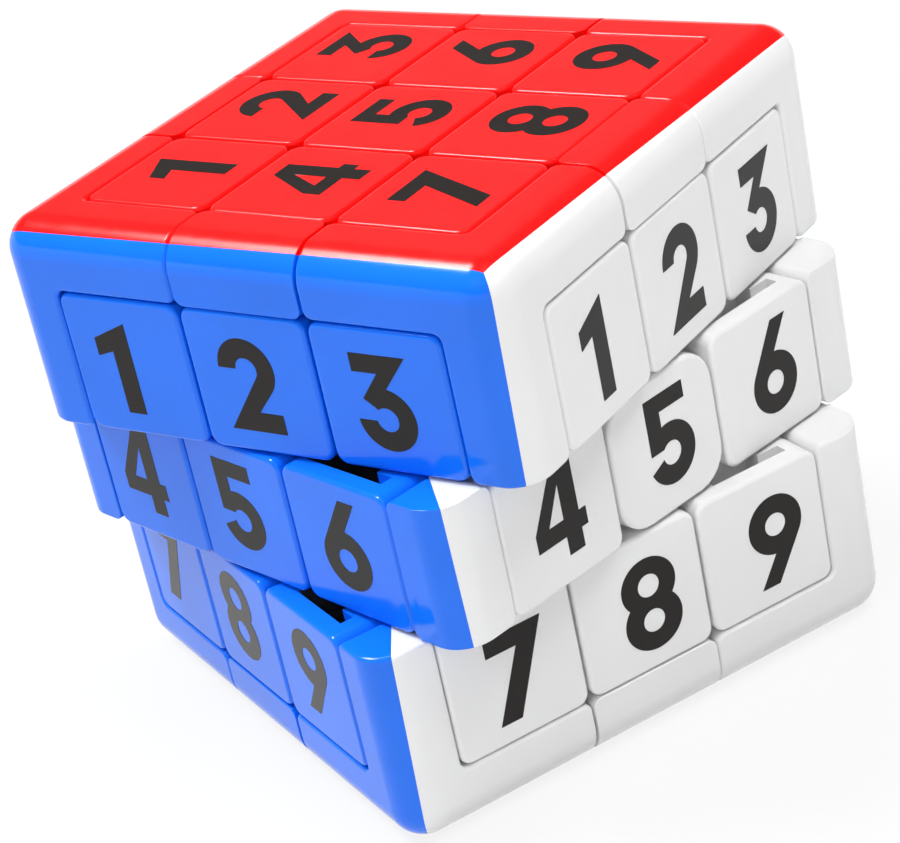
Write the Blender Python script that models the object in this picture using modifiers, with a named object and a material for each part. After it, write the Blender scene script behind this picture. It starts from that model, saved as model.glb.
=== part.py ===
"""A 3 x 3 x 3 sudoku cube: a turning puzzle with number tiles, its three level layers turned apart.

Metres, +Z up. The origin is the middle of the bottom face, and Z is the axis of the level layers.
Each piece is modelled once about the cube's centre and placed by the faces that it belongs to.
"""

import math

import bmesh
import bpy
from mathutils import Matrix, Vector

# Outside of the cube
CUBE_EDGE = 0.057
RIM_WIDTH = 0.0066
EDGE_RADIUS = 0.0035
TILE_CORNER = 0.0012
ROUND_CAP_CORNER = 0.0036
PIECE_CHAMFER = 0.00045
GROOVE_DEPTH = 0.0006
TOP_TWIST = math.radians(12.4)
BOTTOM_TWIST = math.radians(-12.4)

# Slots behind the number tiles, open at the sides that meet other pieces
SLOT_WALL = 0.00135
SLOT_WIDTH = 0.0026
SLOT_END = 0.0015
SLOT_DEPTH = 0.0024

# Clearances
PIECE_GAP = 0.0003
FOOT_GAP = 0.0006
SEAT_GAP = 0.0003
THREAD_GAP = 0.0002

# Feet that lock the pieces together, inside a ball round the core
FOOT_ROOT = 0.0037
FOOT_THICKNESS = 0.0051
FOOT_HOOK = 0.0019
NECK_INSET = 0.0004

# Centres, with their screws and springs
CAP_THICKNESS = 0.0016
CAP_PLUG = 0.0014
WELL_RADIUS = 0.00285
WELL_FLOOR = 0.0024
SCREW_RADIUS = 0.00125
SCREW_HEAD_HEIGHT = 0.0019
SCREW_HEAD_CHAMFER = 0.0007
SCREW_HEAD_ROOM = 0.0006
SCREW_TIP_HEIGHT = 0.0045
SCREW_TIP_CHAMFER = 0.0006
RECESS_LENGTH = 0.0030
RECESS_WIDTH = 0.0008
RECESS_DEPTH = 0.0011
SPRING_WIRE = 0.0007
SPRING_PITCH = 0.0019

# Core
CORE_HALF = 0.0062
CORE_CHAMFER = 0.0018
ARM_RADIUS = 0.0036

# Steps in round shapes
FILLET_STEPS = 4
CORNER_STEPS = 3
BALL_STEPS = 24
ROUND_STEPS = 16
COIL_STEPS = 9

# Worked out from the sizes above, measured from the cube's centre
HALF = CUBE_EDGE / 2
RIM_LINE = HALF - RIM_WIDTH
LAYER_CUT = RIM_LINE / 3
OUTER_LOW = LAYER_CUT + PIECE_GAP / 2
MIDDLE_HALF = LAYER_CUT - PIECE_GAP / 2
FOOT_CUT = LAYER_CUT - FOOT_HOOK
FOOT_LOW = FOOT_CUT + PIECE_GAP / 2
STEM_HALF = FOOT_CUT - PIECE_GAP / 2
FOOT_RADIUS = LAYER_CUT * math.sqrt(3) + FOOT_ROOT
FOOT_HOLLOW_RADIUS = FOOT_RADIUS - FOOT_THICKNESS
CAP_SEAT = HALF - CAP_THICKNESS - SEAT_GAP
PLUG_END = CAP_SEAT - CAP_PLUG
WELL_BASE = FOOT_HOLLOW_RADIUS + WELL_FLOOR
SCREW_HEAD_TOP = PLUG_END - SCREW_HEAD_ROOM
SCREW_HEAD_SEAT = SCREW_HEAD_TOP - SCREW_HEAD_HEIGHT
SCREW_HEAD_RADIUS = WELL_RADIUS - SEAT_GAP
ARM_END = FOOT_HOLLOW_RADIUS - SEAT_GAP
SLOT_HEIGHTS = (HALF - SLOT_WALL - SLOT_WIDTH, HALF - SLOT_WALL)
SLOT_RUN = (OUTER_LOW + SLOT_END, RIM_LINE - SLOT_END)

# Limits for telling faces apart, merging points and shading
FACING = 0.001
SHELL_FACING = 0.3
SAME_POINT = 1e-6
SHARP_ANGLE = math.radians(30)

FACES = {
    "top": Vector((0, 0, 1)),
    "bottom": Vector((0, 0, -1)),
    "front": Vector((0, -1, 0)),
    "back": Vector((0, 1, 0)),
    "right": Vector((1, 0, 0)),
    "left": Vector((-1, 0, 0)),
}
X, Y, Z = (Vector(row) for row in Matrix.Identity(3))
ROUND_CAPS = ("right", "left")

# Colour, roughness and metallic value of each finish; the faces' plastics are named for the faces
FINISHES = {
    "top": ((1.0, 0.035, 0.035), 0.25, 0.0),
    "bottom": ((1.0, 0.23, 0.02), 0.25, 0.0),
    "front": ((0.045, 0.21, 0.95), 0.25, 0.0),
    "back": ((0.02, 0.42, 0.09), 0.25, 0.0),
    "right": ((0.82, 0.82, 0.82), 0.25, 0.0),
    "left": ((0.95, 0.68, 0.02), 0.25, 0.0),
    "inside": ((0.02, 0.02, 0.022), 0.45, 0.0),
    "screw": ((0.55, 0.55, 0.56), 0.3, 1.0),
    "spring": ((0.45, 0.45, 0.47), 0.35, 1.0),
}


def clear_scene():
    for obj in list(bpy.data.objects):
        bpy.data.objects.remove(obj)


def new_collection(name):
    collection = bpy.data.collections.new(name)
    bpy.context.scene.collection.children.link(collection)
    return collection


def new_material(name, colour, roughness, metallic):
    material = bpy.data.materials.new(name)
    material.use_nodes = True
    shader = material.node_tree.nodes["Principled BSDF"]
    shader.inputs["Base Color"].default_value = (*colour, 1.0)
    shader.inputs["Roughness"].default_value = roughness
    shader.inputs["Metallic"].default_value = metallic
    return material


def helper(name, data):
    """A construction shape: it is cut with or baked into a piece, and never rendered."""
    obj = bpy.data.objects.new(name, data)
    obj.hide_render = True
    obj.display_type = "WIRE"
    bench.objects.link(obj)
    return obj


def mesh_from(bm, name):
    mesh = bpy.data.meshes.new(name)
    bm.to_mesh(mesh)
    bm.free()
    return mesh


def box_bmesh(low, high):
    """A box between two corners."""
    bm = bmesh.new()
    size = Vector(high) - Vector(low)
    middle = (Vector(high) + Vector(low)) / 2
    bmesh.ops.create_cube(bm, size=1, matrix=Matrix.Translation(middle) @ Matrix.Diagonal((*size, 1)))
    return bm


def box(name, low, high):
    return helper(name, mesh_from(box_bmesh(low, high), name))


def ball(name, radius):
    bm = bmesh.new()
    bmesh.ops.create_uvsphere(bm, u_segments=BALL_STEPS, v_segments=BALL_STEPS // 2, radius=radius)
    return helper(name, mesh_from(bm, name))


def rod(name, radius, low, high, turn=Matrix.Identity(4)):
    """A round rod along Z from low to high, then turned about the cube's centre."""
    bm = bmesh.new()
    bmesh.ops.create_cone(
        bm,
        cap_ends=True,
        segments=ROUND_STEPS,
        radius1=radius,
        radius2=radius,
        depth=high - low,
        matrix=turn @ Matrix.Translation((0, 0, (low + high) / 2)),
    )
    return helper(name, mesh_from(bm, name))


def groove_ring(name, face_turn):
    """The V-shaped groove round the nine tiles of a face: a square ring with a diamond section, half sunk."""
    bpy.ops.mesh.primitive_torus_add(
        major_segments=4,
        minor_segments=4,
        major_radius=RIM_LINE * math.sqrt(2),
        minor_radius=2 * GROOVE_DEPTH,
    )
    made = bpy.context.object
    square_up = Matrix.Rotation(math.radians(45), 4, "Z")
    made.data.transform(face_turn @ Matrix.Translation((0, 0, HALF + GROOVE_DEPTH)) @ square_up)
    ring = helper(name, made.data)
    bpy.data.objects.remove(made)
    return ring


def carve(shape, *steps):
    """Applies (operation, tool) Boolean steps to a shape in turn, and clears the tools away."""
    for operation, tool in steps:
        modifier = shape.modifiers.new(tool.name, "BOOLEAN")
        modifier.operation = operation
        modifier.solver = "EXACT"
        modifier.object = tool
    shape.data = baked(shape)
    shape.modifiers.clear()
    for _, tool in steps:
        bpy.data.objects.remove(tool)
    return shape


def baked(shape):
    """The mesh of a shape with its modifiers applied."""
    bpy.context.view_layer.update()
    graph = bpy.context.evaluated_depsgraph_get()
    mesh = bpy.data.meshes.new_from_object(shape.evaluated_get(graph))
    mesh.name = shape.name
    return mesh


def finished(shape):
    """The shape's mesh, shaded for its flats and rounds; the construction shape goes."""
    mesh = baked(shape)
    bpy.data.objects.remove(shape)
    mesh.shade_smooth()
    mesh.set_sharp_from_angle(angle=SHARP_ANGLE)
    return mesh


def is_outer(face, cuts):
    """True for a face that shows on the lined-up cube, and so points along none of the cut directions."""
    return all(face.normal.dot(cut) < FACING for cut in cuts)


def rounded_block(name, low, high, cuts, tile_corner=TILE_CORNER):
    """A cubie's outer block. Its cut faces meet other cubies; edges between outer faces are rounded."""
    bm = box_bmesh(low, high)
    bm.normal_update()
    bevel(bm, [edge for edge in bm.edges if ends_at_outer(edge, cuts)], tile_corner, CORNER_STEPS)
    bevel(bm, [edge for edge in bm.edges if outer_count(edge, cuts) == 2], EDGE_RADIUS, FILLET_STEPS)
    bevel(bm, [edge for edge in bm.edges if outer_count(edge, cuts) == 1], PIECE_CHAMFER, 1)
    return helper(name, mesh_from(bm, name))


def outer_count(edge, cuts):
    return sum(is_outer(face, cuts) for face in edge.link_faces)


def ends_at_outer(edge, cuts):
    """True for an edge between two cut faces that runs out to an outer face, at the corner of a tile."""
    meets_outer = any(is_outer(face, cuts) for vert in edge.verts for face in vert.link_faces)
    return meets_outer and outer_count(edge, cuts) == 0


def bevel(bm, edges, width, steps):
    bmesh.ops.bevel(bm, geom=edges, offset=width, segments=steps, profile=0.5, affect="EDGES")
    bm.normal_update()


def foot(name, low, high):
    """The part of a piece that lies in the ball round the core, under the pieces beside it."""
    return carve(
        box(name, low, high),
        ("INTERSECT", ball("foot_ball", FOOT_RADIUS - FOOT_GAP / 2)),
        ("DIFFERENCE", ball("foot_hollow", FOOT_HOLLOW_RADIUS)),
    )


def slot(cut, face, cut_span, run):
    """A cutter for the slot behind a tile: cut and face are the axes it opens along and lies under."""
    spans = {0: run, 1: run, 2: run, cut: cut_span, face: SLOT_HEIGHTS}
    low, high = zip(*(spans[axis] for axis in range(3)))
    return "DIFFERENCE", box("slot", low, high)


def corner_slots():
    """Two slots in each cut face of a corner, one for each tile that reaches it."""
    opening = OUTER_LOW - SLOT_DEPTH, OUTER_LOW + SLOT_DEPTH
    return [slot(cut, face, opening, SLOT_RUN) for cut in range(3) for face in range(3) if face != cut]


def edge_slots():
    """The slots of an edge's +Z tile, towards the two corners beside it and the centre."""
    end = MIDDLE_HALF - SLOT_END
    return [
        slot(0, 2, (MIDDLE_HALF - SLOT_DEPTH, MIDDLE_HALF + SLOT_DEPTH), SLOT_RUN),
        slot(0, 2, (-MIDDLE_HALF - SLOT_DEPTH, -MIDDLE_HALF + SLOT_DEPTH), SLOT_RUN),
        slot(1, 2, (OUTER_LOW - SLOT_DEPTH, OUTER_LOW + SLOT_DEPTH), (-end, end)),
    ]


def corner_mesh():
    """The corner of the +X, +Y and +Z faces: a block with three outer faces, on a foot under the edges."""
    block = rounded_block("corner", Vector((OUTER_LOW,) * 3), Vector((HALF,) * 3), (-X, -Y, -Z))
    foot_box = Vector((FOOT_LOW,) * 3), Vector((FOOT_RADIUS,) * 3)
    carve(
        block,
        ("UNION", foot("corner_foot", *foot_box)),
        *(("DIFFERENCE", groove_ring("corner_groove", frame_of(axis, other)))
          for axis, other in ((X, Y), (Y, Z), (Z, X))),
        *corner_slots(),
    )
    return finished(block)


def edge_half_mesh():
    """The +Z half of the edge between the +Y and +Z faces: the piece is split where its two colours meet."""
    low, high = Vector((-MIDDLE_HALF, OUTER_LOW, OUTER_LOW)), Vector((MIDDLE_HALF, HALF, HALF))
    block = rounded_block("edge_half", low, high, (X, -X, -Y, -Z))
    neck_half, neck_low = STEM_HALF - NECK_INSET, OUTER_LOW + NECK_INSET
    neck = Vector((-neck_half, neck_low, neck_low)), Vector((neck_half, FOOT_RADIUS, FOOT_RADIUS))
    foot_box = Vector((-STEM_HALF, FOOT_LOW, FOOT_LOW)), Vector((STEM_HALF, FOOT_RADIUS, FOOT_RADIUS))
    carve(
        block,
        ("DIFFERENCE", ball("edge_underside", FOOT_RADIUS + FOOT_GAP / 2)),
        ("UNION", box("edge_neck", *neck)),
        ("UNION", foot("edge_foot", *foot_box)),
        ("DIFFERENCE", groove_ring("edge_groove_z", frame_of(Z, Y))),
        ("DIFFERENCE", groove_ring("edge_groove_y", frame_of(Y, Z))),
        ("DIFFERENCE", mitre_cutter()),
        *edge_slots(),
    )
    return finished(block)


def mitre_cutter():
    """A block that takes away the +Y side of an edge, with half of the seam between its halves."""
    reach = CUBE_EDGE
    cutter = box("mitre", (-reach, -reach, -reach), (reach, reach, SEAT_GAP / 2))
    cutter.data.transform(Matrix.Rotation(math.radians(45), 4, "X"))
    return cutter


def centre_mesh():
    """The +Z centre: a block on a square stem, with a well for the spring and a hole for the screw."""
    low = Vector((-MIDDLE_HALF, -MIDDLE_HALF, OUTER_LOW))
    block = box("centre", low, Vector((MIDDLE_HALF, MIDDLE_HALF, CAP_SEAT)))
    stem = Vector((-STEM_HALF, -STEM_HALF, FOOT_HOLLOW_RADIUS)), Vector((STEM_HALF, STEM_HALF, PLUG_END))
    carve(
        block,
        ("DIFFERENCE", ball("centre_underside", FOOT_RADIUS + FOOT_GAP / 2)),
        ("UNION", box("centre_stem", *stem)),
        ("DIFFERENCE", rod("spring_well", WELL_RADIUS, WELL_BASE, HALF)),
        ("DIFFERENCE", rod("screw_hole", SCREW_RADIUS + SEAT_GAP, 0, HALF)),
    )
    return finished(block)


def cap_mesh(tile_corner):
    """The +Z centre's cap: a number tile on a round plug that snaps into the well."""
    tile_low = Vector((-MIDDLE_HALF, -MIDDLE_HALF, HALF - CAP_THICKNESS))
    tile_high = Vector((MIDDLE_HALF, MIDDLE_HALF, HALF))
    tile = rounded_block("cap", tile_low, tile_high, (X, -X, Y, -Y, -Z), tile_corner)
    plug = rod("cap_plug", WELL_RADIUS - SEAT_GAP, PLUG_END, HALF - CAP_THICKNESS / 2)
    return finished(carve(tile, ("UNION", plug)))


def screw_mesh():
    """The +Z axle screw: a pan head with a cross recess, on a shank that reaches into the core."""
    profile = [
        (0, SCREW_HEAD_TOP),
        (SCREW_HEAD_RADIUS - SCREW_HEAD_CHAMFER, SCREW_HEAD_TOP),
        (SCREW_HEAD_RADIUS, SCREW_HEAD_TOP - SCREW_HEAD_CHAMFER),
        (SCREW_HEAD_RADIUS, SCREW_HEAD_SEAT),
        (SCREW_RADIUS, SCREW_HEAD_SEAT),
        (SCREW_RADIUS, SCREW_TIP_HEIGHT + SCREW_TIP_CHAMFER),
        (SCREW_RADIUS - SCREW_TIP_CHAMFER, SCREW_TIP_HEIGHT),
        (0, SCREW_TIP_HEIGHT),
    ]
    line = bpy.data.meshes.new("screw")
    links = [(i, i + 1) for i in range(len(profile) - 1)]
    line.from_pydata([(radius, 0, height) for radius, height in profile], links, [])
    screw = helper("screw", line)
    turn = screw.modifiers.new("turn", "SCREW")
    turn.steps = turn.render_steps = ROUND_STEPS
    turn.use_merge_vertices = True
    turn.merge_threshold = SAME_POINT
    screw.data = baked(screw)
    screw.modifiers.clear()
    recess_low, recess_high = SCREW_HEAD_TOP - RECESS_DEPTH, SCREW_HEAD_TOP + RECESS_DEPTH
    for length, width in ((RECESS_LENGTH, RECESS_WIDTH), (RECESS_WIDTH, RECESS_LENGTH)):
        slot = box("recess", (-length / 2, -width / 2, recess_low), (length / 2, width / 2, recess_high))
        carve(screw, ("DIFFERENCE", slot))
    return finished(screw)


def spring_curve():
    """The +Z spring: one wire wound round the screw, between the well's floor and the screw's head."""
    wire = SPRING_WIRE / 2
    coil_radius = WELL_RADIUS - SEAT_GAP - wire
    low, high = WELL_BASE + SEAT_GAP + wire, SCREW_HEAD_SEAT - SEAT_GAP - wire
    turns = max(1, round((high - low) / SPRING_PITCH))
    count = turns * COIL_STEPS
    curve = bpy.data.curves.new("spring", "CURVE")
    curve.dimensions = "3D"
    curve.bevel_depth = wire
    curve.bevel_resolution = 1
    curve.use_fill_caps = True
    line = curve.splines.new("POLY")
    line.points.add(count)
    for i, point in enumerate(line.points):
        angle = 2 * math.pi * i / COIL_STEPS
        height = low + (high - low) * i / count
        point.co = (coil_radius * math.cos(angle), coil_radius * math.sin(angle), height, 1)
    print(f"gap between the spring's turns: {((high - low) / turns - SPRING_WIRE) * 1000:.2f} mm")
    return curve


def core_mesh():
    """The core: a chamfered block with six arms, each bored for its axle screw."""
    bm = box_bmesh((-CORE_HALF,) * 3, (CORE_HALF,) * 3)
    bevel(bm, bm.edges[:], CORE_CHAMFER, 1)
    core = helper("core", mesh_from(bm, "core"))
    turns = [frame_of(outward, square_to(outward)) for outward in FACES.values()]
    arms = [("UNION", rod("arm", ARM_RADIUS, CORE_HALF - CORE_CHAMFER, ARM_END, turn)) for turn in turns]
    bore_end = SCREW_TIP_HEIGHT - SEAT_GAP
    bores = [("DIFFERENCE", rod("bore", SCREW_RADIUS + THREAD_GAP, bore_end, HALF, turn)) for turn in turns]
    carve(core, *arms, *bores)
    return finished(core)


def square_to(outward):
    """The first face direction that is square to another."""
    return next(other for other in FACES.values() if other.dot(outward) == 0)


def frame_of(up, forward):
    """The turn that takes +Z to up and +Y to forward."""
    return Matrix((forward.cross(up), forward, up)).transposed().to_4x4()


def layer_of(faces):
    return next((level for level in ("top", "bottom") if level in faces), "middle")


def place(name, data, faces, turn, finish_names):
    """Adds a piece to the layer that its faces belong to, with one finish for each of its material slots."""
    obj = bpy.data.objects.new(name, data)
    cube.objects.link(obj)
    obj.parent = layers[layer_of(faces)]
    obj.matrix_basis = turn
    while len(data.materials) < len(finish_names):
        data.materials.append(None)
    for slot, finish_name in zip(obj.material_slots, finish_names):
        slot.link = "OBJECT"
        slot.material = materials[finish_name]
    return obj


def paint_corner(mesh):
    """Slot 0 is the foot; slots 1 to 3 are the shells of the X, Y and Z faces, which meet in a mitre."""
    for face in mesh.polygons:
        reach = list(face.center)
        shell = min(reach) > OUTER_LOW - PIECE_GAP and max(face.normal) > SHELL_FACING
        face.material_index = 1 + reach.index(max(reach)) if shell else 0


def make_centres():
    centre, screw, spring = centre_mesh(), screw_mesh(), spring_curve()
    cap, round_cap = cap_mesh(TILE_CORNER), cap_mesh(ROUND_CAP_CORNER)
    for face, outward in FACES.items():
        turn = frame_of(outward, square_to(outward))
        place(f"{face}_centre", centre, [face], turn, ["inside"])
        place(f"{face}_centre_cap", round_cap if face in ROUND_CAPS else cap, [face], turn, [face])
        place(f"{face}_screw", screw, [], turn, ["screw"])
        place(f"{face}_spring", spring, [], turn, ["spring"])


def make_edges():
    half = edge_half_mesh()
    names = list(FACES)
    for i, first in enumerate(names):
        for second in names[i + 1:]:
            if FACES[first].dot(FACES[second]) != 0:
                continue
            for face, other in ((first, second), (second, first)):
                turn = frame_of(FACES[face], FACES[other])
                place(f"{first}_{second}_edge_{face}_half", half, [first, second], turn, [face])


def make_corners():
    corner = corner_mesh()
    paint_corner(corner)
    for level in ("top", "bottom"):
        for front in ("front", "back"):
            for side in ("right", "left"):
                up, forward, across = level, front, side
                if FACES[forward].cross(FACES[up]).dot(FACES[across]) < 0:
                    forward, across = across, forward
                turn = frame_of(FACES[up], FACES[forward])
                name = f"{level}_{front}_{side}_corner"
                place(name, corner, [level, front, side], turn, ["inside", across, forward, up])


clear_scene()
cube = new_collection("sudoku_cube")
bench = new_collection("cutters")
materials = {name: new_material(name, *finish) for name, finish in FINISHES.items()}

# The layers' empties sit on the turning axis, at the cube's centre
layers = {}
for layer, twist in (("top", TOP_TWIST), ("middle", 0), ("bottom", BOTTOM_TWIST)):
    empty = bpy.data.objects.new(f"{layer}_layer_axis", None)
    empty.matrix_basis = Matrix.Translation((0, 0, HALF)) @ Matrix.Rotation(twist, 4, "Z")
    cube.objects.link(empty)
    layers[layer] = empty

place("core", core_mesh(), [], Matrix.Identity(4), ["inside"])
make_centres()
make_edges()
make_corners()
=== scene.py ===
"""The looks of a sudoku cube: coloured shells with number tiles and rims, printed digits and dark insides.

Metres, +Z up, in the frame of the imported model. A shell is modelled on the +Z face, about the cube's centre,
and copied to the cube's six faces. Each copy's place is in its mesh.
"""

import math

import bmesh
import bpy
from mathutils import Matrix, Quaternion, Vector


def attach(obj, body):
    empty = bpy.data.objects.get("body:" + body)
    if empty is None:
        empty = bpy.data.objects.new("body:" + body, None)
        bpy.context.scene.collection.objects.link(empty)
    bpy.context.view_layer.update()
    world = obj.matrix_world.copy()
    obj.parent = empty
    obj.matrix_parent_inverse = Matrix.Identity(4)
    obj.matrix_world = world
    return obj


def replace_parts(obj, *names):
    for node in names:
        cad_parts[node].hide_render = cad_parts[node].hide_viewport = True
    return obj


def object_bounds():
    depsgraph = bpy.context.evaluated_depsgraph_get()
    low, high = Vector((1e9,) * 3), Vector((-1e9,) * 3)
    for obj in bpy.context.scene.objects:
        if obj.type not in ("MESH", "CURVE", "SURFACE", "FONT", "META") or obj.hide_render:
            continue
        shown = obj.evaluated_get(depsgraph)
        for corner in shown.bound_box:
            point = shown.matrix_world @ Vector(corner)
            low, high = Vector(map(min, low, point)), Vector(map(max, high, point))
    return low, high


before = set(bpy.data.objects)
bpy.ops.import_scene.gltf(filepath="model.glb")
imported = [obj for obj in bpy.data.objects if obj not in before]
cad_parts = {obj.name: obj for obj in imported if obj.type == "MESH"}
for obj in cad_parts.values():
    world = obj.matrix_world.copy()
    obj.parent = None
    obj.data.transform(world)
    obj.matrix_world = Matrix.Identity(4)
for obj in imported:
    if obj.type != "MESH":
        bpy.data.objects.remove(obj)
cad_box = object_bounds()

# Outside of the cube
HALF = (cad_box[1].z - cad_box[0].z) / 2
RIM_WIDTH = 0.0066
EDGE_RADIUS = 0.0035
PIECE_GAP = 0.0003
RIM_GAP = 0.0001
RIM_SEAM = 0.00016
TILE_CORNER = 0.0013
RIM_TILE_CORNER = 0.0012
WINDOW_CORNER = 0.0008
ROUND_TILE_CORNER = 0.0036
RIM_END_CORNER = 0.0010
SOFT_EDGE = 0.00045
SEAM_SOFTNESS = 0.55
TWIST = {"top": math.radians(12.4), "middle": 0.0, "bottom": math.radians(-12.4)}

# Degrees that the top or bottom colour covers of each corner's roundings, to front or back and to the side
CORNER_COVER = {
    ("top", "front", "right"): (34, 33),
    ("top", "front", "left"): (45, 45),
    ("top", "back", "right"): (51, 51),
    ("top", "back", "left"): (45, 45),
    ("bottom", "front", "right"): (18, 27),
    ("bottom", "front", "left"): (27, 27),
    ("bottom", "back", "right"): (49, 27),
    ("bottom", "back", "left"): (27, 27),
}

# Degrees that the front or back colour covers of the upright roundings, at the four ends where layers meet
UPRIGHT_COVER = {
    ("front", "right"): (40, 52, 56, 69),
    ("front", "left"): (45, 45, 45, 45),
    ("back", "right"): (32, 20, 20, 20),
    ("back", "left"): (45, 45, 45, 45),
}

# How far out to the front or back these colours' joints lie inside, at the inner corner of the rim
JOINT_DEPTH = {("front", "right"): 0.0230}

# Pieces where the right colour runs on behind a thin skin of the back colour, with a deep hem by the tiles
TUCKED = (("back", "right"), ("bottom", "back", "right"))
SKIN = 0.0001
HEM_WIDTH = 0.0008
HEM_DEPTH = 0.0006

# Number tiles, with a hollow behind the front wall of each side and a notch at the hollow's rim end
TILE_DEPTH = 0.0065
FRONT_WALL = 0.00195
CORNER_POST = 0.0036
EDGE_WALL = 0.0015
NOTCH_WIDTH = 0.00135
NOTCH_DEPTH = 0.0014

# Width and depth of a hollow and the two ends of its notch: closed at the back in pale tiles, open in others,
# where a dark sheet of painted shade backs the hollow
CLOSED_HOLLOW = 0.0034, 0.0034, (0.0045, 0.0021)
OPEN_HOLLOW = 0.0065, 0.005, (0.0044, 0.0024)
# Thickness of the dark sheet of painted shade at an open hollow's back and end, and how far it sits in from
# the tile's faces
PAINTED_SHADE_THICKNESS = 0.0003
PAINTED_SHADE_SINK = 0.0001

# Feet and wells of the dark insides
INSIDE_GAP = 0.0002
FOOT_LOW = 0.00555
FOOT_RADIUS = 0.01634
FOOT_GAP = 0.0006
FOOT_HOLLOW_RADIUS = 0.01124
STEM_HALF = 0.00525
NECK_INSET = 0.0004
WELL_RADIUS = 0.00285
WELL_BASE = 0.01364
WELL_TOP = 0.0252
SCREW_HOLE_RADIUS = 0.00155

# Digits
DIGIT_PITCH = 0.01505
DIGIT_RISE = 0.00003
DIGIT_SINK = 0.00003

# Steps in round shapes, and limits for telling points and faces apart
EDGE_STEPS = 12
CORNER_STEPS = 6
SOFT_STEPS = 4
BALL_STEPS = 48
ARC_STEP = math.radians(5)
NEAR = 2e-6
FLAT = 1e-3
SHARP_ANGLE = math.radians(35)

# Worked out from the sizes above, measured from the cube's centre
RIM_LINE = HALF - RIM_WIDTH
LAYER_CUT = RIM_LINE / 3
OUTER_LOW = LAYER_CUT + PIECE_GAP / 2
MIDDLE_HALF = LAYER_CUT - PIECE_GAP / 2
TILE_BASE = HALF - TILE_DEPTH
TILE_HIGH = RIM_LINE - RIM_GAP / 2
RIM_LOW = RIM_LINE + RIM_GAP / 2
RIM_END = LAYER_CUT + RIM_SEAM / 2
RIM_HALF = LAYER_CUT - RIM_SEAM / 2
ROUND_AXIS = HALF - EDGE_RADIUS
WALL_BASE = HALF - FRONT_WALL
CUBE_EDGE = 2 * HALF

FACES = {
    "top": Vector((0, 0, 1)),
    "bottom": Vector((0, 0, -1)),
    "front": Vector((0, -1, 0)),
    "back": Vector((0, 1, 0)),
    "right": Vector((1, 0, 0)),
    "left": Vector((-1, 0, 0)),
}
LEVELS = ("top", "bottom")
FRONTS = ("front", "back")
ENDS = ("right", "left")
OPPOSITE = {}
for first, second in (LEVELS, FRONTS, ENDS):
    OPPOSITE[first], OPPOSITE[second] = second, first
# Pale tiles have closed hollows; the other tiles' open hollows get dark sheets of painted shade
PALE_FACES = ROUND_TILES = ("right", "left")
SLOT_OF_FACE = {
    "top": "red_plastic",
    "bottom": "orange_plastic",
    "front": "blue_plastic",
    "back": "green_plastic",
    "right": "white_plastic",
    "left": "yellow_plastic",
}

# Direction that each face's digits read in
READING = {
    "top": Vector((0, 1, 0)),
    "bottom": Vector((0, 1, 0)),
    "front": Vector((1, 0, 0)),
    "back": Vector((-1, 0, 0)),
    "right": Vector((0, 1, 0)),
    "left": Vector((0, -1, 0)),
}

# How far the three rows of digits are printed off the middle of their tiles, to the right and up
PRINT_SHIFTS = {
    "top": ((0.0013, 0.00045), (0.00115, 0.00005), (0.0012, -0.0004)),
    "front": ((-0.00065, -0.00005), (-0.0004, 0.0005), (-0.0004, 0.0004)),
    "right": ((0.00015, -0.00015), (0.0004, 0.0004), (0.0009, -0.0003)),
}
NO_SHIFTS = ((0, 0), (0, 0), (0, 0))

# Camera, measured from the cube's centre
CAMERA_PLACE = Vector((0.18872, -0.15226, 0.11903))
CAMERA_AIM = Vector((0.00045, -0.00229, -0.00350))
CAMERA_ROLL = math.radians(-12.33)
CAMERA_LENS = 108.1
CAMERA_NEAR = 0.01

# Finishes: sizes of the noises per metre, the part of a noise that is used, and the height of the bumps
CLOUD_SCALE = 90
GLOSS_SCALE = 420
PEEL_SCALE = 600
GRAIN_SCALE = 5000
NOISE_RANGE = 0.3, 0.7
GLOSS_RANGE = 0.8, 1.25
PEEL_HEIGHT = 0.0002
GRAIN_HEIGHT = 0.00005

# Studio: floor, sky by the height of a direction, and the softbox
FLOOR_SIZE = 6
FLOOR_COLOUR = (0.65, 0.65, 0.65, 1)
FLOOR_ROUGHNESS = 0.9
FLOOR_GLOW = 0.85
SKY_HEIGHTS = 0.5, 0.75
SKY_STRENGTHS = 0.15, 0.2
COVE_HEIGHTS = 0.17, 0.22
COVE_STRENGTHS = 1, 0
SOFTBOX_PLACE = (-0.29, -0.154, 0.618)


def activate(obj):
    bpy.ops.object.select_all(action="DESELECT")
    obj.select_set(True)
    bpy.context.view_layer.objects.active = obj


def block(name, low, high):
    """A box between two corners, with its place in its mesh."""
    bpy.ops.object.select_all(action="DESELECT")
    bpy.ops.mesh.primitive_cube_add(size=1, location=(Vector(low) + Vector(high)) / 2)
    made = bpy.context.object
    made.name = name
    made.scale = Vector(high) - Vector(low)
    bpy.ops.object.transform_apply(location=True, rotation=True, scale=True)
    return made


def ball(radius):
    bpy.ops.object.select_all(action="DESELECT")
    bpy.ops.mesh.primitive_uv_sphere_add(segments=BALL_STEPS, ring_count=BALL_STEPS // 2, radius=radius)
    return bpy.context.object


def rod(radius, low, high):
    bpy.ops.object.select_all(action="DESELECT")
    bpy.ops.mesh.primitive_cylinder_add(
        vertices=BALL_STEPS, radius=radius, depth=high - low, location=(0, 0, (low + high) / 2)
    )
    bpy.ops.object.transform_apply(location=True, rotation=False, scale=False)
    return bpy.context.object


def combine(obj, tool, operation="DIFFERENCE"):
    """Cuts a shape with another, or joins them, and clears the other away."""
    modifier = obj.modifiers.new("combine", "BOOLEAN")
    modifier.operation = operation
    modifier.solver = "EXACT"
    modifier.object = tool
    activate(obj)
    bpy.ops.object.modifier_apply(modifier=modifier.name)
    bpy.data.objects.remove(tool)
    return obj


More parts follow.
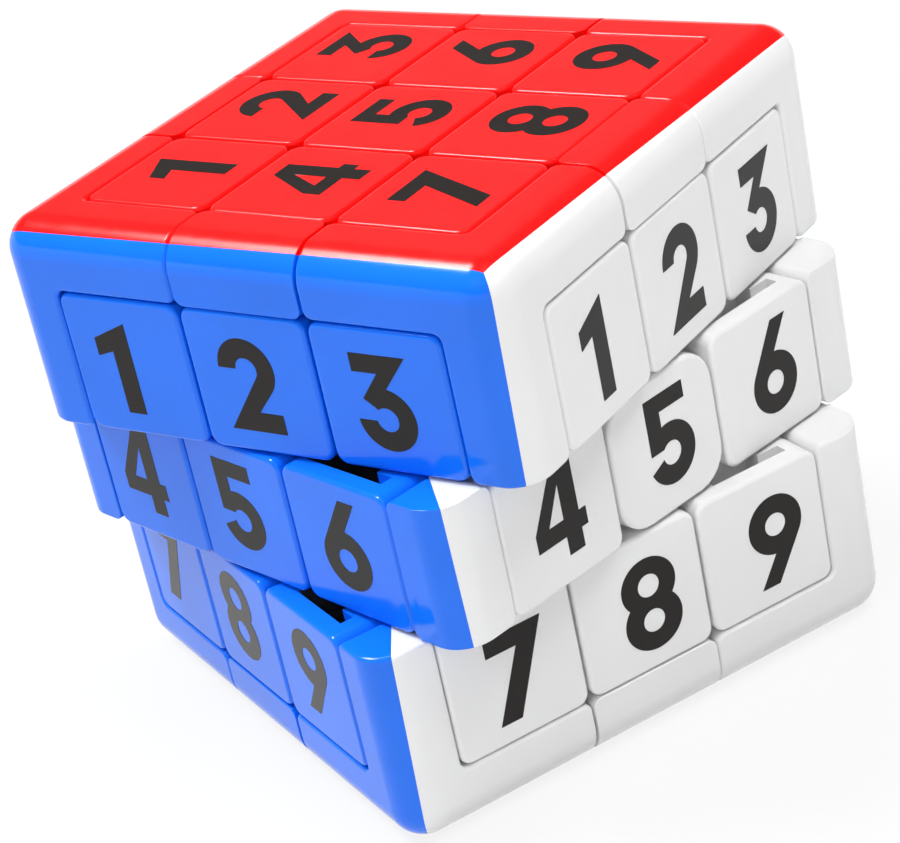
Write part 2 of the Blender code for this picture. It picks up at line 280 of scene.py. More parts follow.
def round_edges(obj, wanted, width, steps):
    """Rounds the edges that a test picks."""
    activate(obj)
    bpy.ops.object.mode_set(mode="EDIT")
    bpy.ops.mesh.select_mode(type="EDGE")
    bpy.ops.mesh.select_all(action="DESELECT")
    shape = bmesh.from_edit_mesh(obj.data)
    for edge in shape.edges:
        if wanted(edge):
            edge.select_set(True)
    bmesh.update_edit_mesh(obj.data)
    bpy.ops.mesh.bevel(offset=width, segments=steps, profile=0.5, affect="EDGES")
    bpy.ops.object.mode_set(mode="OBJECT")


def lies_on(edge, **places):
    """True for an edge that lies at these coordinates, such as x=HALF."""
    return all(abs(getattr(vert.co, axis) - at) < NEAR for vert in edge.verts for axis, at in places.items())


def is_skin(normal, outer):
    """True for a face that looks out along the outer axes alone."""
    return all(part > -FLAT if axis in outer else abs(part) < FLAT for axis, part in enumerate(normal))


def soften(obj, outer, is_seam=None):
    """Rounds the edges where a piece's outer skin turns over to its sides, less at the seams."""
    activate(obj)
    bpy.ops.object.mode_set(mode="EDIT")
    shape = bmesh.from_edit_mesh(obj.data)
    weight = shape.edges.layers.float.new("bevel_weight_edge")
    for edge in shape.edges:
        normals = [face.normal for face in edge.link_faces]
        sides = [normal for normal in normals if not is_skin(normal, outer)]
        if len(sides) == 1 and sides[0].z > -FLAT:
            edge[weight] = SEAM_SOFTNESS if is_seam and is_seam(sides[0]) else 1
    bpy.ops.object.mode_set(mode="OBJECT")
    modifier = obj.modifiers.new("soften", "BEVEL")
    modifier.limit_method = "WEIGHT"
    modifier.width = SOFT_EDGE
    modifier.segments = SOFT_STEPS
    bpy.ops.object.modifier_apply(modifier=modifier.name)


def on_round(along, across, cover):
    """A point of the +Z face's rounded edge, by its place along the edge and its angle from +Z."""
    point = Vector((along, along, ROUND_AXIS + EDGE_RADIUS * math.cos(cover)))
    point[across] = ROUND_AXIS + EDGE_RADIUS * math.sin(cover)
    return point


def mitre(obj, axis, points):
    """Ends a shell at the plane through three points, where the colour towards +X or +Y begins."""
    point = points[0]
    normal = (points[1] - point).cross(points[2] - point).normalized()
    if normal[axis] < normal.z:
        normal.negate()
    activate(obj)
    bpy.ops.object.mode_set(mode="EDIT")
    bpy.ops.mesh.select_all(action="SELECT")
    bpy.ops.mesh.bisect(plane_co=point, plane_no=normal, use_fill=True, clear_outer=True, threshold=NEAR)
    bpy.ops.object.mode_set(mode="OBJECT")


def finished(*shapes):
    """Joins shapes into one piece and shades its flats flat and its rounds smooth."""
    activate(shapes[0])
    for shape in shapes:
        shape.select_set(True)
    if len(shapes) > 1:
        bpy.ops.object.join()
    piece = bpy.context.object
    bpy.ops.object.shade_smooth_by_angle(angle=SHARP_ANGLE)
    modifier = piece.modifiers.new("flats", "WEIGHTED_NORMAL")
    modifier.keep_sharp = True
    bpy.ops.object.modifier_apply(modifier=modifier.name)
    return piece


def number_tile(low, high, corner, rim_corner=False):
    """A number tile, a deep block with rounded corners. With rim_corner, one of them fits into the rim's."""
    tile = block("tile", (*low, TILE_BASE), (*high, HALF))

    def is_upright(edge):
        return abs(edge.verts[0].co.z - edge.verts[1].co.z) > TILE_DEPTH / 2

    def at_rim(edge):
        return rim_corner and lies_on(edge, x=high[0], y=high[1])

    round_edges(tile, lambda edge: is_upright(edge) and not at_rim(edge), corner, CORNER_STEPS)
    if rim_corner:
        round_edges(tile, at_rim, RIM_TILE_CORNER, CORNER_STEPS)
    soften(tile, (2,))
    return tile


def side_block(name, axis, across, along, heights):
    """A block at a tile's side, by its ranges on the axis that goes in, on the other axis and on Z."""
    low, high = Vector((along[0], along[0], heights[0])), Vector((along[1], along[1], heights[1]))
    low[axis], high[axis] = min(across), max(across)
    return block(name, low, high)


def hollow_side(tile, axis, side, wall, hollow):
    """Hollows a tile behind its front wall, in from a side along an axis, and cuts the notch beside it."""
    width, depth, notch_ends = hollow
    notch_low, notch_high = (TILE_HIGH - end for end in notch_ends)
    cuts = (
        (OUTER_LOW + wall, notch_low, width, depth),
        (notch_low - PIECE_GAP, notch_high, NOTCH_WIDTH, NOTCH_DEPTH),
    )
    for start, stop, wide, deep in cuts:
        across = side - deep, side + deep
        combine(tile, side_block("hollow", axis, across, (start, stop), (WALL_BASE - wide, WALL_BASE)))


def painted_shade_lining(axis, side, inward, wall):
    """A dark sheet of painted shade on an open hollow's floor and on its end away from the notch, standing for
    the shade deep in the hollow.
    """
    _, depth, notch_ends = OPEN_HOLLOW
    start, stop = OUTER_LOW + wall, TILE_HIGH - notch_ends[0]
    across = side + inward * PAINTED_SHADE_SINK, side + inward * depth
    shape = side_block("painted_shade_lining", axis, across, (start, stop), (TILE_BASE, WALL_BASE - PAINTED_SHADE_SINK))
    across = side - inward * depth, side + inward * (depth - PAINTED_SHADE_THICKNESS)
    return combine(shape, side_block("room", axis, across, (start + PAINTED_SHADE_THICKNESS, CUBE_EDGE), (0, CUBE_EDGE)))


def corner_painted_shade_lining():
    return finished(*(painted_shade_lining(axis, OUTER_LOW, 1, CORNER_POST) for axis in range(2)))


def edge_painted_shade_lining():
    return finished(*(painted_shade_lining(0, -inward * MIDDLE_HALF, inward, EDGE_WALL) for inward in (1, -1)))


def corner_tile(hollow):
    tile = number_tile((OUTER_LOW, OUTER_LOW), (TILE_HIGH, TILE_HIGH), TILE_CORNER, rim_corner=True)
    for axis in range(2):
        hollow_side(tile, axis, OUTER_LOW, CORNER_POST, hollow)
    return tile


def edge_tile(hollow):
    tile = number_tile((-MIDDLE_HALF, OUTER_LOW), (MIDDLE_HALF, TILE_HIGH), TILE_CORNER)
    for side in (-MIDDLE_HALF, MIDDLE_HALF):
        hollow_side(tile, 0, side, EDGE_WALL, hollow)
    return tile


def centre_tile(corner):
    """A centre's tile, hollow underneath for the head of the screw."""
    tile = number_tile((-MIDDLE_HALF, -MIDDLE_HALF), (MIDDLE_HALF, MIDDLE_HALF), corner)
    return finished(combine(tile, rod(WELL_RADIUS, 0, WELL_TOP)))


def corner_rim(inner, peak, covers):
    """The L-shaped rim of a corner's shell, at +X and +Y.

    Three colours meet on the line from the inner point to the rounding's point in the peak's direction. The
    covers are the angles of the rounded edges that the shell takes at the ends of the rim.
    """
    rim = block("rim", (RIM_END, RIM_END, RIM_LINE), (HALF, HALF, HALF))

    def is_outer(edge):
        return any(lies_on(edge, **{a: HALF, b: HALF}) for a, b in ("xy", "yz", "zx"))

    round_edges(rim, is_outer, EDGE_RADIUS, EDGE_STEPS)
    window = block("window", (0, 0, 0), (RIM_LOW, RIM_LOW, CUBE_EDGE))
    round_edges(window, lambda edge: lies_on(edge, x=RIM_LOW, y=RIM_LOW), WINDOW_CORNER, CORNER_STEPS)
    combine(rim, window)

    def is_end_corner(edge):
        return lies_on(edge, x=RIM_END, y=RIM_LOW) or lies_on(edge, x=RIM_LOW, y=RIM_END)

    round_edges(rim, is_end_corner, RIM_END_CORNER, CORNER_STEPS)
    soften(rim, (0, 1, 2))
    outer = Vector((ROUND_AXIS, ROUND_AXIS, ROUND_AXIS)) + EDGE_RADIUS * peak
    for axis, cover in enumerate(covers):
        if cover is not None:
            mitre(rim, axis, (inner, outer, on_round(RIM_END, axis, cover)))
    return rim


def edge_rim(inner, covers):
    """The straight rim of an edge's shell, along X at +Y.

    Two colours meet on a plane through the inner point. The covers are the angles of the rounded edge that
    the shell takes at its -X and +X ends.
    """
    rim = block("rim", (-RIM_HALF, RIM_LOW, RIM_LINE), (RIM_HALF, HALF, HALF))
    round_edges(rim, lambda edge: lies_on(edge, y=HALF, z=HALF), EDGE_RADIUS, EDGE_STEPS)

    def is_end_corner(edge):
        return lies_on(edge, x=RIM_HALF, y=RIM_LOW) or lies_on(edge, x=-RIM_HALF, y=RIM_LOW)

    round_edges(rim, is_end_corner, RIM_END_CORNER, CORNER_STEPS)
    soften(rim, (1, 2), lambda normal: abs(normal.x) > abs(normal.y))
    if covers:
        ends = [on_round(along, 1, cover) for along, cover in zip((-RIM_HALF, RIM_HALF), covers)]
        mitre(rim, 1, (inner, *ends))
    return rim


def tuck(rim, face, turn, tip):
    """Parts the back and right colours of a rim. The back's skin is thin and reaches in to a tip."""
    room = block("room", (RIM_LINE - PIECE_GAP, 0, -CUBE_EDGE), (CUBE_EDGE,) * 3)
    mitre(room, 1, (Vector((0, HALF - SKIN, -LAYER_CUT)), Vector((HALF, HALF - SKIN, -LAYER_CUT)), tip))
    hem = block("hem", (0, HALF - HEM_DEPTH, -CUBE_EDGE), (RIM_LINE + HEM_WIDTH, CUBE_EDGE, CUBE_EDGE))
    combine(room, hem)
    room.data.transform(turn.inverted())
    return combine(rim, room, "INTERSECT" if face == "right" else "DIFFERENCE")


def foot(low, high):
    """The part of a piece that lies in the ball round the core."""
    shape = block("foot", low, high)
    combine(shape, ball(FOOT_RADIUS - FOOT_GAP / 2), "INTERSECT")
    return combine(shape, ball(FOOT_HOLLOW_RADIUS))


def corner_inside():
    low, high = OUTER_LOW + INSIDE_GAP, TILE_BASE
    inside = block("inside", (low,) * 3, (high,) * 3)
    return finished(combine(inside, foot((FOOT_LOW,) * 3, (FOOT_RADIUS,) * 3), "UNION"))


def edge_inside():
    """The inside of the edge between +Y and +Z, on a neck and a foot."""
    half, low = MIDDLE_HALF - INSIDE_GAP, OUTER_LOW + INSIDE_GAP
    inside = block("inside", (-half, low, low), (half, TILE_BASE, TILE_BASE))
    combine(inside, ball(FOOT_RADIUS + FOOT_GAP / 2))
    neck_half, neck_low = STEM_HALF - NECK_INSET, OUTER_LOW + NECK_INSET
    neck = block("neck", (-neck_half, neck_low, neck_low), (neck_half, FOOT_RADIUS, FOOT_RADIUS))
    combine(inside, neck, "UNION")
    stem = foot((-STEM_HALF, FOOT_LOW, FOOT_LOW), (STEM_HALF, FOOT_RADIUS, FOOT_RADIUS))
    return finished(combine(inside, stem, "UNION"))


def centre_inside():
    """The body of the +Z centre: a block on a square stem, with the spring's well and the screw's hole."""
    half = MIDDLE_HALF - INSIDE_GAP
    inside = block("inside", (-half, -half, OUTER_LOW), (half, half, TILE_BASE))
    combine(inside, ball(FOOT_RADIUS + FOOT_GAP / 2))
    stem_top = TILE_BASE - INSIDE_GAP
    stem = block("stem", (-STEM_HALF, -STEM_HALF, FOOT_HOLLOW_RADIUS), (STEM_HALF, STEM_HALF, stem_top))
    combine(inside, stem, "UNION")
    combine(inside, rod(WELL_RADIUS, WELL_BASE, HALF))
    return finished(combine(inside, rod(SCREW_HOLE_RADIUS, 0, HALF)))


# Outlines of the digits, in millimetres about the middle of the digit
TOP, BOTTOM = 4.8, -4.8
BOWL = Vector((0, -1.65))
BOWL_RADIUS = 3.15
EYE_RADIUS = 1.2


def arc(centre, radius, start, stop):
    """Points on a circle from one angle to another, in degrees, either way round."""
    sweep = math.radians(stop - start)
    count = max(2, math.ceil(abs(sweep) / ARC_STEP))
    angles = [math.radians(start) + sweep * i / count for i in range(count + 1)]
    return [(centre[0] + radius * math.cos(a), centre[1] + radius * math.sin(a)) for a in angles]


def circle(centre, radius):
    return arc(centre, radius, 0, 360)[:-1]


def touch(centre, radius, point, side):
    """Angle where a line from a point touches a circle, anticlockwise (1) or clockwise (-1) of the point."""
    away = Vector(point) - Vector(centre)
    return math.degrees(math.atan2(away.y, away.x) + side * math.acos(radius / away.length))


def one():
    return [[(1.3, TOP), (1.3, BOTTOM), (-0.87, BOTTOM), (-0.87, 1.71), (-2.8, 1.1), (-2.8, 2.96)]]


def two():
    hook, radius, base = (0, 1.6), 3.2, -2.77
    elbow, heel = (0.42, base), (-3.31, BOTTOM)
    outer = arc(hook, radius, 180, touch(hook, radius, elbow, 1))
    inner = arc(hook, EYE_RADIUS, touch(hook, EYE_RADIUS, heel, 1), 180)
    return [outer + [elbow, (3.06, base), (3.06, BOTTOM), heel] + inner]


def three():
    flag = [(-2.83, 2.95), (-2.83, TOP), (3.25, TOP)]
    outer = arc(BOWL, BOWL_RADIUS, 80, -176)
    inner = arc(BOWL, EYE_RADIUS, -170, 130)
    return [flag + outer + inner + [(-2.2, 0.29), (-0.14, 2.95)]]


def four():
    left, right, end, bar_low, bar_high = 0.33, 2.33, 3.2, -2.83, -1.03
    outline = [(-0.1, TOP), (right, TOP), (right, bar_high), (end, bar_high), (end, bar_low)]
    outline += [(right, bar_low), (right, BOTTOM), (left, BOTTOM), (left, bar_low)]
    outline += [(-3.28, bar_low), (-3.28, -0.95)]
    return [outline, [(left, 2.7), (left, bar_high), (-1.55, bar_high)]]


def five():
    left, right, bar_low, stem_low = -2.72, -0.86, 3.02, -0.92
    outer = arc(BOWL, BOWL_RADIUS, 105.8, -160)
    inner = arc(BOWL, EYE_RADIUS, -169, 142.5)
    return [[(left, stem_low), (left, TOP), (2.61, TOP), (2.61, bar_low), (right, bar_low)] + outer + inner]


def six():
    tip_left, tip_right = (0.42, TOP), (2.56, TOP)
    outer = arc(BOWL, BOWL_RADIUS, 83.3, touch(BOWL, BOWL_RADIUS, tip_left, 1) - 360)
    return [[tip_right] + outer + [tip_left], circle(BOWL, EYE_RADIUS)]


def seven():
    return [[(-3.2, TOP), (3.2, TOP), (-0.69, BOTTOM), (-3.05, BOTTOM), (0.14, 2.8), (-3.2, 2.8)]]


def eight():
    upper, lower, upper_radius, lower_radius, widen = Vector((0, 2.0)), Vector((0, -1.85)), 2.95, 3.1, 1.05
    apart = upper.y - lower.y
    waist = (apart**2 + lower_radius**2 - upper_radius**2) / (2 * apart)
    low = math.degrees(math.asin(waist / lower_radius))
    high = math.degrees(math.asin((waist - apart) / upper_radius))
    outline = arc(upper, upper_radius, high, 180 - high)[:-1]
    outline += arc(lower, lower_radius, 180 - low, 360 + low)[:-1]
    return [[(widen * x, y) for x, y in outline], circle(upper, EYE_RADIUS), circle(lower, EYE_RADIUS)]


def nine():
    return [[(-x, -y) for x, y in outline] for outline in six()]


def digit_plate(name, outlines):
    """A thin plate in the shape of a digit, on the +Z face, reading along +X."""
    curve = bpy.data.curves.new(name, "CURVE")
    curve.dimensions = "2D"
    curve.fill_mode = "BOTH"
    curve.extrude = (DIGIT_RISE + DIGIT_SINK) / 2
    for outline in outlines:
        line = curve.splines.new("POLY")
        line.points.add(len(outline) - 1)
        line.use_cyclic_u = True
        for point, (x, y) in zip(line.points, outline):
            point.co = (x / 1000, y / 1000, 0, 1)
    plate = bpy.data.objects.new(name, curve)
    bpy.context.scene.collection.objects.link(plate)
    plate.location.z = HALF + (DIGIT_RISE - DIGIT_SINK) / 2
    activate(plate)
    bpy.ops.object.convert(target="MESH")
    bpy.ops.object.transform_apply(location=True, rotation=False, scale=False)
    bpy.ops.object.mode_set(mode="EDIT")
    bpy.ops.mesh.select_all(action="SELECT")
    bpy.ops.mesh.remove_doubles(threshold=NEAR)
    bpy.ops.object.mode_set(mode="OBJECT")
    return bpy.context.object


def frame_of(up, forward):
    """The turn that takes +Z to up and +Y to forward."""
    return Matrix((forward.cross(up), forward, up)).transposed().to_4x4()


def layer_of(*faces):
    return next((level for level in LEVELS if level in faces), "middle")


def joint_inside(*names):
    """The point at the inner corner of the rim where the colours of two or three faces meet."""
    front = next((name for name in names if name in FRONTS), None)
    side = next((name for name in names if name in ENDS), None)
    depths = {name: RIM_LOW for name in names}
    if (front, side) in JOINT_DEPTH:
        depths[front] = JOINT_DEPTH[front, side]
    return sum((depth * FACES[name] for name, depth in depths.items()), Vector())


def corner_cover(level, side, end):
    """Degrees that the top or bottom colour covers towards a side, at the corner by another side."""
    if side in FRONTS:
        return CORNER_COVER[level, side, end][0]
    return CORNER_COVER[level, end, side][1]


def seam_cover(face, other, end):
    """Angle that the first face's colour covers between two faces, at the seam towards a third."""
    if other in LEVELS or (face in ENDS and other in FRONTS):
        return math.pi / 2 - seam_cover(other, face, end)
    if face in LEVELS:
        near, far = corner_cover(face, other, end), corner_cover(face, other, OPPOSITE[end])
        return math.radians(near + (far - near) * (ROUND_AXIS - LAYER_CUT) / (2 * ROUND_AXIS))
    return math.radians(UPRIGHT_COVER[face, other][0 if end == "top" else 3])


def middle_covers(face, other):
    """The same angles for an edge of the middle layer, at its upper and lower ends."""
    if face in FRONTS:
        return [math.radians(angle) for angle in UPRIGHT_COVER[face, other][1:3]]
    return [math.pi / 2 - angle for angle in middle_covers(other, face)]


def place(master, name, turn, layer, body, slot):
    """Puts a copy of a shape on the cube, in its layer, riding on its body."""
    mesh = master.data.copy()
    mesh.transform(Matrix.Translation((0, 0, HALF)) @ Matrix.Rotation(TWIST[layer], 4, "Z") @ turn)
    mesh.materials.clear()
    mesh.materials.append(materials[slot])
    piece = bpy.data.objects.new(name, mesh)
    bpy.context.scene.collection.objects.link(piece)
    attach(piece, body)
    return piece


def copy_of(shape):
    made = bpy.data.objects.new(shape.name, shape.data.copy())
    bpy.context.scene.collection.objects.link(made)
    return made


def clear(*shapes):
    for shape in shapes:
        bpy.data.objects.remove(shape)


def make_corners():
    closed, opened, inside = corner_tile(CLOSED_HOLLOW), corner_tile(OPEN_HOLLOW), corner_inside()
    # The dark sheets are painted shade, put in the open hollows of the coloured tiles
    dark = corner_painted_shade_lining()
    for names, (to_front, to_side) in CORNER_COVER.items():
        level, front, side = names
        cubie, body = "_".join(names) + "_corner", f"{level}_layer"
        peak = FACES[level] + math.tan(math.radians(to_front)) * FACES[front]
        peak = (peak + math.tan(math.radians(to_side)) * FACES[side]).normalized()
        tip = ROUND_AXIS * (FACES[level] + FACES[front] + FACES[side]) + EDGE_RADIUS * peak
        for face in names:
            across, forward = [name for name in names if name != face]
            if FACES[forward].cross(FACES[face]) != FACES[across]:
                across, forward = forward, across
            turn = frame_of(FACES[face], FACES[forward])
            tucked = names in TUCKED and face != level
            covers = [
                None if tucked and near != level else seam_cover(face, near, far)
                for near, far in ((across, forward), (forward, across))
            ]
            back = turn.to_3x3().transposed()
            rim = corner_rim(back @ joint_inside(*names), back @ peak, covers)
            if tucked:
                tuck(rim, face, turn, tip)
            shell = finished(rim, copy_of(closed if face in PALE_FACES else opened))
            place(shell, f"{cubie}_{face}_shell", turn, level, body, SLOT_OF_FACE[face])
            clear(shell)
            # Coloured tiles get the dark sheet of painted shade in their open hollows
            if face not in PALE_FACES:
                place(dark, f"{cubie}_{face}_lining", turn, level, body, "dark_plastic")
            if face == level:
                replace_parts(place(inside, f"{cubie}_inside", turn, level, body, "dark_plastic"), cubie)
    clear(closed, opened, inside, dark)


def edge_covers(face, other, turn):
    """Angles that an edge's shell takes at its two ends, in the order of the shell's own X."""
    across = turn.to_3x3().col[0]
    right = next(name for name, way in FACES.items() if (way - across).length < FLAT)
    ends = OPPOSITE[right], right
    if layer_of(face, other) == "middle":
        upper, lower = middle_covers(face, other)
        return [upper if end == "top" else lower for end in ends]
    return [seam_cover(face, other, end) for end in ends]


def make_edges():
    closed, opened, inside = edge_tile(CLOSED_HOLLOW), edge_tile(OPEN_HOLLOW), edge_inside()
    # The dark sheets are painted shade, put in the open hollows of the coloured tiles
    dark = edge_painted_shade_lining()
    names = list(FACES)
    for i, first in enumerate(names):
        for second in names[i + 1:]:
            if second == OPPOSITE[first]:
                continue
            layer = layer_of(first, second)
            cubie, body = f"{first}_{second}_edge", f"{layer}_layer"
            for face, other in ((first, second), (second, first)):
                turn = frame_of(FACES[face], FACES[other])
                inner = turn.to_3x3().transposed() @ joint_inside(face, other)
                tucked = (first, second) in TUCKED
                rim = edge_rim(inner, None if tucked else edge_covers(face, other, turn))
                if tucked:
                    tuck(rim, face, turn, Vector((0, HALF - SKIN, LAYER_CUT)))
                shell = finished(rim, copy_of(closed if face in PALE_FACES else opened))
                piece = place(shell, f"{cubie}_{face}_shell", turn, layer, body, SLOT_OF_FACE[face])
                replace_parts(piece, f"{cubie}_{face}_half")
                clear(shell)
                # Coloured tiles get the dark sheet of painted shade in their open hollows
                if face not in PALE_FACES:
                    place(dark, f"{cubie}_{face}_lining", turn, layer, body, "dark_plastic")
            turn = frame_of(FACES[first], FACES[second])
            place(inside, f"{cubie}_inside", turn, layer, body, "dark_plastic")
    clear(closed, opened, inside, dark)


def make_centres():
    tile, round_tile, inside = centre_tile(TILE_CORNER), centre_tile(ROUND_TILE_CORNER), centre_inside()
    for face, up in FACES.items():
        layer = layer_of(face)
        body = f"{layer}_layer" if face in LEVELS else f"{face}_centre"
        turn = frame_of(up, READING[face])
        shell = round_tile if face in ROUND_TILES else tile
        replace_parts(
            place(shell, f"{face}_centre_shell", turn, layer, body, SLOT_OF_FACE[face]),
            f"{face}_centre_cap",
        )
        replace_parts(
            place(inside, f"{face}_centre_inside", turn, layer, body, "dark_plastic"),
            f"{face}_centre",
        )
    clear(tile, round_tile, inside)


def make_digits():
    shapes = (one, two, three, four, five, six, seven, eight, nine)
    plates = [digit_plate(shape.__name__, shape()) for shape in shapes]
    for face, up in FACES.items():
        right = READING[face]
        turn = frame_of(up, up.cross(right))
        for i, plate in enumerate(plates):
            row, column = divmod(i, 3)
            layer = face if face in LEVELS else ("top", "middle", "bottom")[row]
            body = f"{face}_centre" if layer == "middle" and column == 1 else f"{layer}_layer"
            shift_right, shift_up = PRINT_SHIFTS.get(face, NO_SHIFTS)[row]
            x = shift_right + (column - 1) * DIGIT_PITCH
            y = shift_up + (1 - row) * 2 * LAYER_CUT
            move = Matrix.Translation((x, y, 0))
            place(plate, f"{face}_digit_{i + 1}", turn @ move, layer, body, "digit_print")
    clear(*plates)


def noise(nodes, links, place_node, scale, detail):
    texture = nodes.new("ShaderNodeTexNoise")
    texture.inputs["Scale"].default_value = scale
    texture.inputs["Detail"].default_value = detail
    links.new(place_node.outputs["Object"], texture.inputs["Vector"])
    return texture.outputs["Fac"]


def ramp(nodes, links, source, span, values, shape="LINEAR"):
    """Maps a range of an input to a range of values."""
    ranged = nodes.new("ShaderNodeMapRange")
    ranged.interpolation_type = shape
    ranged.inputs["From Min"].default_value, ranged.inputs["From Max"].default_value = span
    ranged.inputs["To Min"].default_value, ranged.inputs["To Max"].default_value = values
    links.new(source, ranged.inputs["Value"])
    return ranged.outputs["Result"]


def finish_material(name, colour, roughness, metallic=0.0, gloss=0.5, cloud=0.04, peel=0.03, grain=0.0):
    """A moulded or drawn surface: a faint cloud in its colour, uneven gloss, a soft peel and a fine grain."""
    material = bpy.data.materials.new(name)
    material.use_nodes = True
    nodes, links = material.node_tree.nodes, material.node_tree.links
    shader = nodes["Principled BSDF"]
    shader.inputs["Metallic"].default_value = metallic
    shader.inputs["Specular IOR Level"].default_value = gloss
    where = nodes.new("ShaderNodeTexCoord")
    mix = nodes.new("ShaderNodeMix")
    mix.data_type = "RGBA"
    mix.inputs[6].default_value = (*(part * (1 - cloud) for part in colour), 1)
    mix.inputs[7].default_value = (*(min(1, part * (1 + cloud)) for part in colour), 1)
    clouds = noise(nodes, links, where, CLOUD_SCALE, detail=3)
    links.new(ramp(nodes, links, clouds, NOISE_RANGE, (0, 1)), mix.inputs[0])
    links.new(mix.outputs[2], shader.inputs["Base Color"])
    patches = noise(nodes, links, where, GLOSS_SCALE, detail=4)
    uneven = [roughness * part for part in GLOSS_RANGE]
    links.new(ramp(nodes, links, patches, NOISE_RANGE, uneven), shader.inputs["Roughness"])
    bump = nodes.new("ShaderNodeBump")
    bump.inputs["Strength"].default_value = peel
    bump.inputs["Distance"].default_value = PEEL_HEIGHT
    links.new(noise(nodes, links, where, PEEL_SCALE, detail=1), bump.inputs["Height"])
    last = bump
    if grain:
        fine = nodes.new("ShaderNodeBump")
        fine.inputs["Strength"].default_value = grain
        fine.inputs["Distance"].default_value = GRAIN_HEIGHT
        links.new(noise(nodes, links, where, GRAIN_SCALE, detail=2), fine.inputs["Height"])
        links.new(bump.outputs["Normal"], fine.inputs["Normal"])
        last = fine
    links.new(last.outputs["Normal"], shader.inputs["Normal"])
    return material


def make_materials():
    finishes = {
        "red_plastic": dict(colour=(0.85, 0.006, 0.006), roughness=0.17, gloss=0.3),
        "orange_plastic": dict(colour=(1.0, 0.2, 0.01), roughness=0.17, gloss=0.3),
        "blue_plastic": dict(colour=(0.005, 0.16, 0.88), roughness=0.12, gloss=0.42),
        "green_plastic": dict(colour=(0.01, 0.4, 0.07), roughness=0.12, gloss=0.42),
        "white_plastic": dict(colour=(0.82, 0.82, 0.82), roughness=0.09, cloud=0.015),
        "yellow_plastic": dict(colour=(0.95, 0.66, 0.01), roughness=0.09),
        # dark_plastic is the dark insides' own colour, and also colours the sheets of painted shade in the
        # open hollows
        "dark_plastic": dict(colour=(0.03, 0.03, 0.031), roughness=0.45, grain=0.2),
        "digit_print": dict(colour=(0.012, 0.010, 0.009), roughness=0.15, cloud=0.1, gloss=0.22),
        "screw_steel": dict(colour=(0.55, 0.55, 0.56), roughness=0.3, metallic=1.0, grain=0.15),
        "spring_steel": dict(colour=(0.45, 0.45, 0.47), roughness=0.35, metallic=1.0, grain=0.15),
    }
    return {name: finish_material(name, **finish) for name, finish in finishes.items()}


def dress_inner_nodes():
    """The core, screws and springs keep their shapes and get their finishes."""
    for name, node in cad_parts.items():
        if node.hide_render:
            continue
        slot = "dark_plastic" if name == "core" else f"{name.rsplit('_', 1)[1]}_steel"
        node.data.materials.clear()
        node.data.materials.append(materials[slot])


def add_camera():
    centre = Vector((0, 0, HALF))
    data = bpy.data.cameras.new("camera")
    data.lens = CAMERA_LENS
    data.clip_start = CAMERA_NEAR
    camera = bpy.data.objects.new("camera", data)
    bpy.context.scene.collection.objects.link(camera)
    camera.location = centre + CAMERA_PLACE
    look = (CAMERA_AIM - CAMERA_PLACE).to_track_quat("-Z", "Y")
    camera.rotation_euler = (look @ Quaternion((0, 0, 1), CAMERA_ROLL)).to_euler()
    bpy.context.scene.camera = camera


def add_area_light(name, place_from_centre, size, power, in_reflections=True):
    data = bpy.data.lights.new(name, "AREA")
    data.size = size
    data.energy = power
    light = bpy.data.objects.new(name, data)
    light.visible_glossy = in_reflections
    bpy.context.scene.collection.objects.link(light)
    centre = Vector((0, 0, HALF))
    light.location = centre + Vector(place_from_centre)
    light.rotation_euler = (-Vector(place_from_centre)).to_track_quat("-Z", "Y").to_euler()
    return light


def fade_out(light):
    """Lets a lamp fade from its middle to its sides, as a softbox does."""
    light.data.use_nodes = True
    nodes, links = light.data.node_tree.nodes, light.data.node_tree.links
    where = nodes.new("ShaderNodeNewGeometry")
    off_middle = nodes.new("ShaderNodeVectorMath")
    off_middle.operation = "DISTANCE"
    off_middle.inputs[1].default_value = light.location
    links.new(where.outputs["Position"], off_middle.inputs[0])
    fade = ramp(nodes, links, off_middle.outputs["Value"], (0, light.data.size / 2), (1, 0), "SMOOTHERSTEP")
    links.new(fade, nodes["Emission"].inputs["Strength"])


def calculate(nodes, links, operation, first, second):
    result = nodes.new("ShaderNodeMath")
    result.operation = operation
    links.new(first, result.inputs[0])
    links.new(second, result.inputs[1])
    return result.outputs[0]


def seen_rays(nodes, links):
    """1 for what the camera sees straight, in a reflection or through glass, and 0 for falling light."""
    path = nodes.new("ShaderNodeLightPath")
    total = path.outputs["Is Camera Ray"]
    for ray in ("Is Glossy Ray", "Is Transmission Ray"):
        total = calculate(nodes, links, "MAXIMUM", total, path.outputs[ray])
    return total


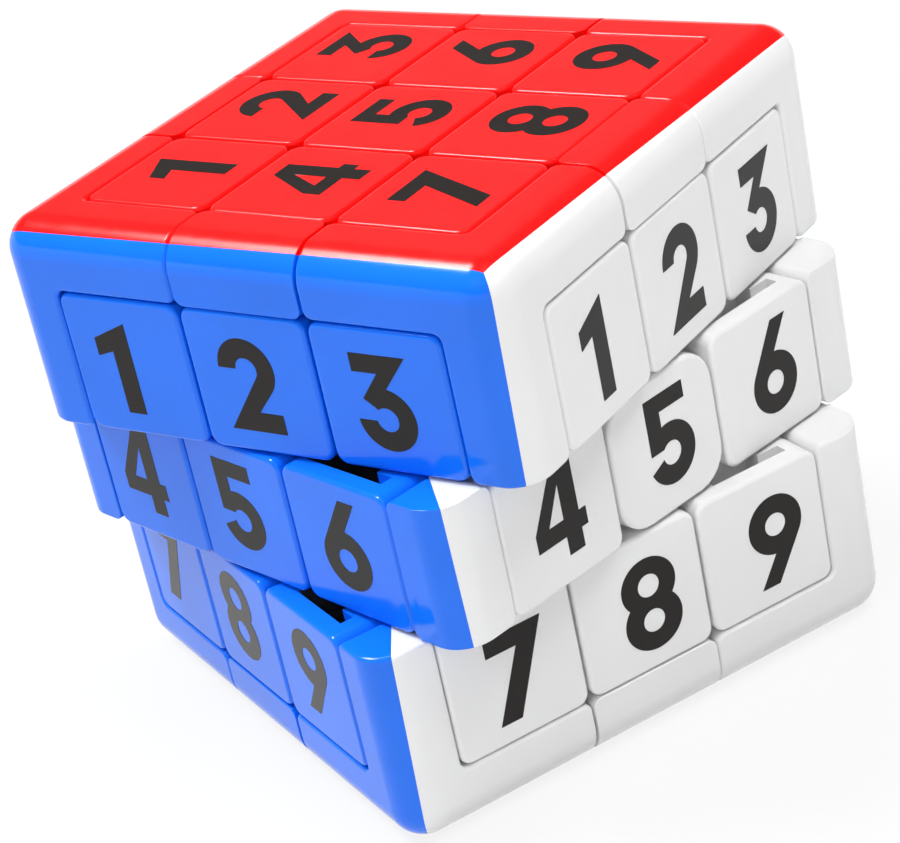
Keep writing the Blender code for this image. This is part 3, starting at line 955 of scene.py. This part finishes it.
def add_floor():
    """A pale floor that shows white and keeps a little of the shadow."""
    bpy.ops.object.select_all(action="DESELECT")
    bpy.ops.mesh.primitive_plane_add(size=FLOOR_SIZE, location=(0, 0, 0))
    floor = bpy.context.object
    floor.name = "floor"
    material = bpy.data.materials.new("floor")
    material.use_nodes = True
    nodes, links = material.node_tree.nodes, material.node_tree.links
    shader = nodes["Principled BSDF"]
    shader.inputs["Base Color"].default_value = FLOOR_COLOUR
    shader.inputs["Roughness"].default_value = FLOOR_ROUGHNESS
    glow = nodes.new("ShaderNodeEmission")
    glow.inputs["Strength"].default_value = 1.0
    share = nodes.new("ShaderNodeMath")
    share.operation = "MULTIPLY"
    share.inputs[1].default_value = FLOOR_GLOW
    links.new(seen_rays(nodes, links), share.inputs[0])
    mix = nodes.new("ShaderNodeMixShader")
    links.new(share.outputs[0], mix.inputs[0])
    links.new(shader.outputs[0], mix.inputs[1])
    links.new(glow.outputs[0], mix.inputs[2])
    links.new(mix.outputs[0], nodes["Material Output"].inputs["Surface"])
    floor.data.materials.append(material)


def add_sky():
    """A dim sky over a white cove that is seen at the horizon."""
    world = bpy.data.worlds.new("studio")
    bpy.context.scene.world = world
    world.use_nodes = True
    nodes, links = world.node_tree.nodes, world.node_tree.links
    sky = nodes["Background"]
    sky.inputs["Color"].default_value = (1, 1, 1, 1)
    where, split = nodes.new("ShaderNodeTexCoord"), nodes.new("ShaderNodeSeparateXYZ")
    links.new(where.outputs["Generated"], split.inputs[0])
    dim = ramp(nodes, links, split.outputs["Z"], SKY_HEIGHTS, SKY_STRENGTHS, "SMOOTHSTEP")
    cove = ramp(nodes, links, split.outputs["Z"], COVE_HEIGHTS, COVE_STRENGTHS, "SMOOTHSTEP")
    seen = calculate(nodes, links, "MULTIPLY", cove, seen_rays(nodes, links))
    links.new(calculate(nodes, links, "MAXIMUM", seen, dim), sky.inputs["Strength"])


def add_studio():
    """Floor, sky, and soft lamps from above and beside the camera."""
    add_floor()
    add_sky()
    fade_out(add_area_light("left_box", SOFTBOX_PLACE, size=0.43, power=22.7))
    fade_out(add_area_light("left_fill", SOFTBOX_PLACE, size=0.46, power=3.3, in_reflections=False))
    add_area_light("right_top", (0.24, 0.14, 0.75), size=0.4, power=4.3, in_reflections=False)
    add_area_light("front_fill", (0.28, -0.49, 0.57), size=0.4, power=1.8, in_reflections=False)
    add_area_light("low_fill", (0.67, -0.39, 0.21), size=0.4, power=0.75, in_reflections=False)
    add_area_light("back_fill", (-0.5, 0.5, 0.4), size=0.4, power=2.0, in_reflections=False)


materials = make_materials()
add_camera()
make_corners()
make_edges()
make_centres()
make_digits()
dress_inner_nodes()
add_studio()
bpy.context.scene.view_settings.view_transform = "Standard"
